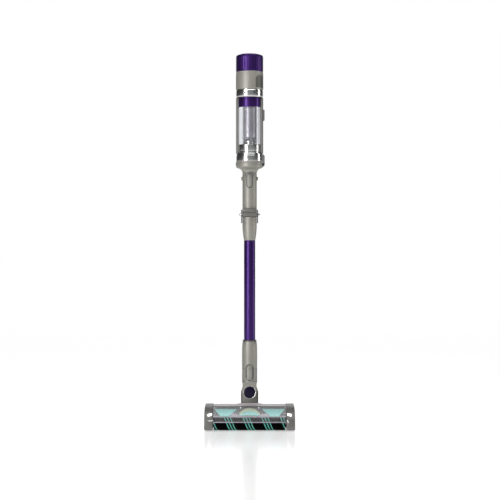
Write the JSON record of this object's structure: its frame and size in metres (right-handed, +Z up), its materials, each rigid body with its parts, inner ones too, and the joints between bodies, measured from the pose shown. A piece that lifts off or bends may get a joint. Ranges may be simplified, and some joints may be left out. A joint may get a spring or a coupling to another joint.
{
  "type": "cordless stick vacuum",
  "caption": "Upright cordless stick vacuum: motorised floor head with brush roll, swivel neck, folding wand, clear dust cup, motor housing, loop handle and battery.",
  "frame": {"origin": "centre of the footprint, on the floor; the wand's axis is the Z axis", "axes": "+Z up the wand, -Y the front of the floor head, +X to the right seen from the front"},
  "size_m": [0.27, 0.25, 1.1345],
  "materials": {
    "purple_gloss": "gloss purple, painted",
    "dark_purple": "gloss near-black purple",
    "warm_grey": "warm grey with a metallic fleck",
    "dark_grey": "satin moulded",
    "silver_trim": "bright metallised plastic",
    "clear_smoke": "clear, faintly smoked",
    "teal_panel": "teal printed panel",
    "lamp_white": "white lamp lens",
    "black_rubber": "matt",
    "brush_black": "short pile with teal stripes",
    "steel": "brushed",
    "motor_metal": "satin",
    "shroud_grey": "grey-violet, fine mesh",
    "foam": "open-cell foam",
    "filter_paper": "pleated paper",
    "board_green": "printed circuit board",
    "cell_blue": "sleeved cells"
  },
  "bodies": {
    "head": {"head_base": "dark_grey", "head_cover": "warm_grey", "front_window": "clear_smoke", "light_panel": "teal_panel", "sole_plate": "dark_grey", "left_side_cap": "dark_grey", "right_side_cap": "dark_grey", "left_headlight": "lamp_white", "right_headlight": "lamp_white", "drive_belt": "black_rubber", "brush_motor": "steel", "rear_axle": "steel"},
    "brush_roll": {"brush_roll": "brush_black", "roll_pulley": "dark_grey"},
    "motor_pulley": {"motor_pulley": "steel"},
    "left_wheel": {"left_wheel": "black_rubber"},
    "right_wheel": {"right_wheel": "black_rubber"},
    "yoke": {"yoke": "dark_grey"},
    "neck": {"neck_body": "warm_grey", "neck_sleeve": "warm_grey", "swivel_pin": "steel", "swivel_cap": "dark_purple"},
    "neck_button": {"neck_button": "warm_grey"},
    "lower_wand": {"wand_tube": "purple_gloss", "lower_collar": "warm_grey", "flex_lower_ring": "dark_grey", "flex_pin": "silver_trim", "flex_hose": "black_rubber"},
    "flex_button": {"flex_button": "dark_grey"},
    "upper_wand": {"flex_upper_ring": "warm_grey", "upper_wand_tube": "warm_grey"},
    "wand_button": {"wand_button": "warm_grey"},
    "inlet_base": {"inlet_base": "warm_grey", "inlet_seal": "black_rubber", "door_pin": "black_rubber"},
    "door_latch": {"door_latch": "dark_grey"},
    "hand_vacuum": {"lower_ring": "silver_trim", "vac_frame": "dark_grey", "chrome_band": "silver_trim", "motor_housing": "warm_grey", "main_motor": "motor_metal", "circuit_board": "board_green", "handle_left_shell": "warm_grey", "handle_right_shell": "warm_grey", "display_panel": "dark_purple"},
    "impeller": {"impeller": "dark_grey"},
    "dust_cup": {"cup_bottom_ring": "silver_trim", "dust_cup": "clear_smoke", "cyclone_shroud": "shroud_grey", "cup_top_ring": "purple_gloss", "foam_filter": "foam"},
    "cup_button": {"cup_button": "dark_grey"},
    "filter_cap": {"filter_cap": "purple_gloss", "hepa_filter": "filter_paper"},
    "power_button": {"power_button": "dark_grey"},
    "mode_button": {"mode_button": "dark_grey"},
    "battery": {"battery_case": "dark_grey", "battery_cells": "cell_blue"},
    "battery_button": {"battery_button": "purple_gloss"}
  },
  "joints": [
    {"name": "brush_roll_spin", "type": "hinge", "parent": "head", "child": "brush_roll", "pos_m": [0, -0.093, 0.024], "axis": [1, 0, 0], "continuous": true},
    {"name": "motor_pulley_spin", "type": "hinge", "parent": "head", "child": "motor_pulley", "pos_m": [0, -0.033, 0.034], "axis": [1, 0, 0], "continuous": true},
    {"name": "left_wheel_spin", "type": "hinge", "parent": "head", "child": "left_wheel", "pos_m": [-0.08, 0.038, 0.0115], "axis": [1, 0, 0], "continuous": true},
    {"name": "right_wheel_spin", "type": "hinge", "parent": "head", "child": "right_wheel", "pos_m": [0.08, 0.038, 0.0115], "axis": [1, 0, 0], "continuous": true},
    {"name": "neck_pitch", "type": "hinge", "parent": "head", "child": "yoke", "pos_m": [0, 0.032, 0.038], "axis": [-1, 0, 0], "range_deg": [0, 80]},
    {"name": "neck_swivel", "type": "hinge", "parent": "yoke", "child": "neck", "pos_m": [0, 0, 0.1065], "axis": [0, 1, 0], "range_deg": [-50, 50]},
    {"name": "neck_button_press", "type": "slide", "parent": "neck", "child": "neck_button", "axis": [0, 1, 0], "range_m": [0, 0.0025], "stiffness_N_per_m": 300},
    {"name": "wand_release", "type": "slide", "parent": "neck", "child": "lower_wand", "axis": [0, 0, 1], "range_m": [0, 0.06]},
    {"name": "wand_flex", "type": "hinge", "parent": "lower_wand", "child": "upper_wand", "pos_m": [0, -0.0225, 0.6448], "axis": [1, 0, 0], "range_deg": [0, 150]},
    {"name": "flex_button_press", "type": "slide", "parent": "lower_wand", "child": "flex_button", "axis": [0, -1, 0], "range_m": [0, 0.002], "stiffness_N_per_m": 300},
    {"name": "wand_button_press", "type": "slide", "parent": "upper_wand", "child": "wand_button", "axis": [0, 1, 0], "range_m": [0, 0.002], "stiffness_N_per_m": 300},
    {"name": "vacuum_lift_off", "type": "slide", "parent": "upper_wand", "child": "inlet_base", "axis": [0, 0, 1], "range_m": [0, 0.05]},
    {"name": "door_latch_press", "type": "slide", "parent": "inlet_base", "child": "door_latch", "axis": [1, 0, 0], "range_m": [0, 0.0015], "stiffness_N_per_m": 300},
    {"name": "dust_door", "type": "hinge", "parent": "inlet_base", "child": "hand_vacuum", "pos_m": [0.0405, 0, 0.7975], "axis": [0, 1, 0], "range_deg": [0, 90]},
    {"name": "impeller_spin", "type": "hinge", "parent": "hand_vacuum", "child": "impeller", "pos_m": [0, 0, 1.01], "axis": [0, 0, 1], "continuous": true},
    {"name": "dust_cup_slide", "type": "slide", "parent": "hand_vacuum", "child": "dust_cup", "axis": [0, -1, 0], "range_m": [0, 0.11]},
    {"name": "cup_button_press", "type": "slide", "parent": "hand_vacuum", "child": "cup_button", "axis": [-1, 0, 0], "range_m": [0, 0.0015], "stiffness_N_per_m": 300},
    {"name": "filter_cap_lift", "type": "slide", "parent": "hand_vacuum", "child": "filter_cap", "axis": [0, 0, 1], "range_m": [0, 0.05]},
    {"name": "power_button_press", "type": "slide", "parent": "hand_vacuum", "child": "power_button", "axis": [0, 0, -1], "range_m": [0, 0.0015], "stiffness_N_per_m": 300},
    {"name": "mode_button_press", "type": "slide", "parent": "hand_vacuum", "child": "mode_button", "axis": [0, 0, -1], "range_m": [0, 0.0015], "stiffness_N_per_m": 300},
    {"name": "battery_slide", "type": "slide", "parent": "hand_vacuum", "child": "battery", "axis": [0, 0, -1], "range_m": [0, 0.09]},
    {"name": "battery_button_press", "type": "slide", "parent": "battery", "child": "battery_button", "axis": [0, -1, 0], "range_m": [0, 0.0015], "stiffness_N_per_m": 300}
  ],
  "couplings": [
    {"joint": "motor_pulley_spin", "follows": "brush_roll_spin", "ratio": 2.0909}
  ]
}
